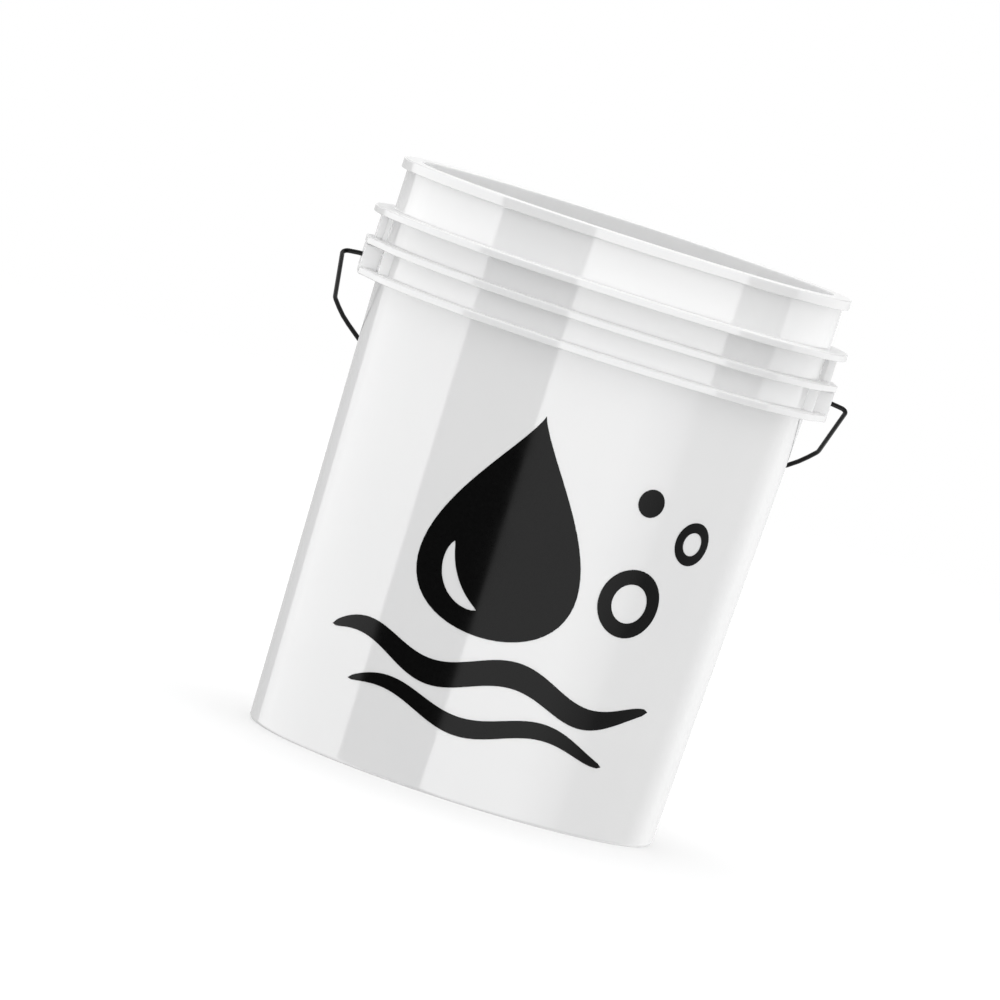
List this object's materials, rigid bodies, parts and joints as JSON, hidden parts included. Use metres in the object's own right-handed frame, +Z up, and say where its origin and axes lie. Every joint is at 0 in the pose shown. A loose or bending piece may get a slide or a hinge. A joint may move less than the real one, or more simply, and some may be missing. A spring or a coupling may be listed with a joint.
{
  "type": "wash bucket",
  "caption": "Tall round wash bucket with a ribbed neck, a swinging wire bail with a roller grip, and a lift-out radial grit guard standing on its floor.",
  "frame": {"origin": "middle of the bucket's base, on the surface that it stands on", "axes": "+Z up along the bucket's axis; the two ears and the bail's hinge lie along X; the bail hangs down on the +Y side at rest"},
  "size_m": [0.3374, 0.3179, 0.368],
  "materials": {
    "white_plastic": "glossy injection-moulded polyethylene",
    "black_wire": "black plastic-coated steel wire",
    "black_grip": "satin moulded plastic",
    "black_guard": "satin moulded plastic"
  },
  "bodies": {
    "bucket": {"bucket_shell": "white_plastic"},
    "bail": {"bail_wire": "black_wire"},
    "grip": {"bail_grip": "black_grip"},
    "grit_guard": {"guard_grille": "black_guard", "guard_hub": "black_guard", "guard_vane_1": "black_guard", "guard_vane_2": "black_guard", "guard_vane_3": "black_guard", "guard_vane_4": "black_guard"}
  },
  "joints": [
    {"name": "bail_swing", "type": "hinge", "parent": "bucket", "child": "bail", "pos_m": [0, 0, 0.3013], "axis": [1, 0, 0], "range_deg": [0, 255]},
    {"name": "grip_roll", "type": "hinge", "parent": "bail", "child": "grip", "pos_m": [0, 0.15074, 0.18563], "axis": [1, 0, 0], "continuous": true},
    {"name": "grit_guard_lift", "type": "slide", "parent": "bucket", "child": "grit_guard", "axis": [0, 0, 1], "range_m": [0, 0.38]}
  ]
}
